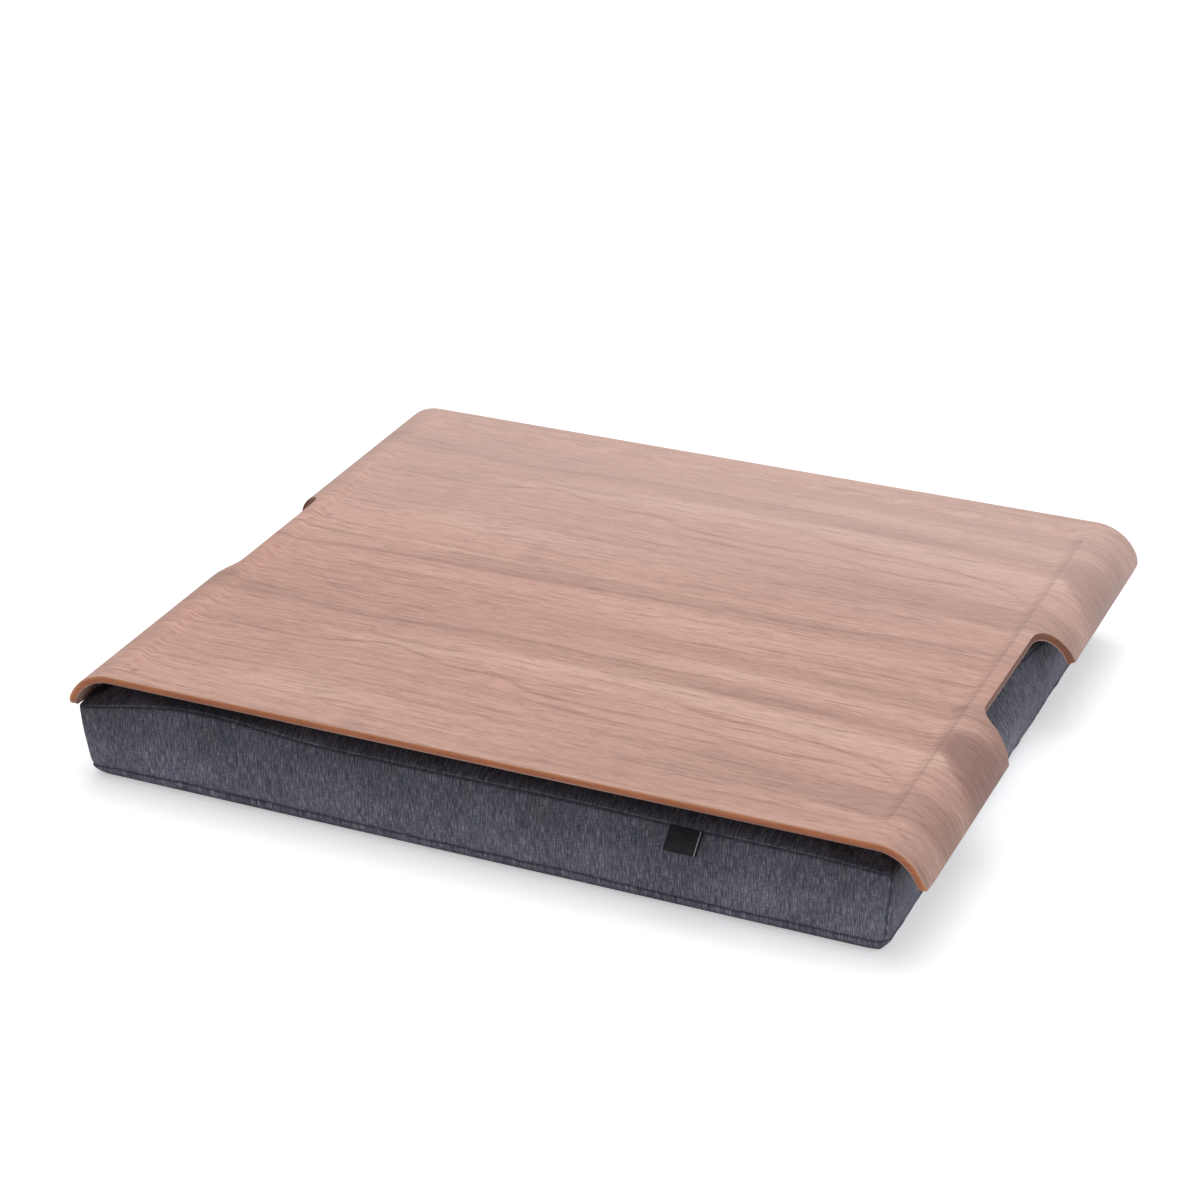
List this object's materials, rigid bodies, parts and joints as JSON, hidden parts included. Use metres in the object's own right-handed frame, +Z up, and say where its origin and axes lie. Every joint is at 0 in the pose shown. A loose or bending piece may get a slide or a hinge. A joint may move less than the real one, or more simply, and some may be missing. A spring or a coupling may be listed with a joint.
{
  "type": "lap tray with cushion",
  "caption": "Bent wooden lap tray with rolled ends and finger cuts, lying on a boxed fabric cushion with a zipped cover.",
  "frame": {"origin": "on the floor, midway between the handles and midway front to back", "axes": "+X toward the right handle, the labelled front edge faces -Y, +Z up"},
  "size_m": [0.46, 0.38, 0.065],
  "materials": {
    "walnut_veneer": "satin lacquer",
    "core_wood": "sealed edge",
    "hook_tape": "stiff hooks",
    "loop_tape": "brushed loops",
    "cover_fabric": "heathered weave",
    "label_ribbon": "woven ribbon",
    "zip_tape": "woven",
    "zip_plastic": "moulded",
    "zip_metal": "satin enamel",
    "liner_cloth": "plain weave",
    "bead_filling": "foam beads"
  },
  "bodies": {
    "cushion": {"cover_top_panel": "cover_fabric", "cover_bottom_panel": "cover_fabric", "cover_front_panel": "cover_fabric", "cover_right_panel": "cover_fabric", "cover_left_panel": "cover_fabric", "cover_back_upper": "cover_fabric", "cover_back_lower": "cover_fabric", "side_label": "label_ribbon", "loop_strip_1": "loop_tape", "loop_strip_2": "loop_tape", "loop_strip_3": "loop_tape", "loop_strip_4": "loop_tape", "zip_tape_upper": "zip_tape", "zip_tape_lower": "zip_tape", "zip_teeth_upper": "zip_plastic", "zip_teeth_lower": "zip_plastic", "zip_top_stops": "zip_plastic", "zip_bottom_stop": "zip_plastic", "bead_liner": "liner_cloth", "bead_fill": "bead_filling"},
    "tray": {"tray_face_veneer": "walnut_veneer", "tray_core_ply_1": "core_wood", "tray_core_ply_2": "core_wood", "tray_core_ply_3": "core_wood", "tray_back_veneer": "walnut_veneer", "hook_strip_1": "hook_tape", "hook_strip_2": "hook_tape", "hook_strip_3": "hook_tape", "hook_strip_4": "hook_tape"},
    "slider": {"zip_slider": "zip_metal"},
    "pull": {"zip_pull": "zip_metal"}
  },
  "joints": [
    {"name": "tray_lift", "type": "slide", "parent": "cushion", "child": "tray", "axis": [0, 0, 1], "range_m": [0, 0.08]},
    {"name": "zip_slide", "type": "slide", "parent": "cushion", "child": "slider", "axis": [-1, 0, 0], "range_m": [0, 0.3135]},
    {"name": "pull_swing", "type": "hinge", "parent": "slider", "child": "pull", "pos_m": [0.15175, 0.18852, 0.028], "axis": [0, 0, -1], "range_deg": [0, 170]}
  ]
}
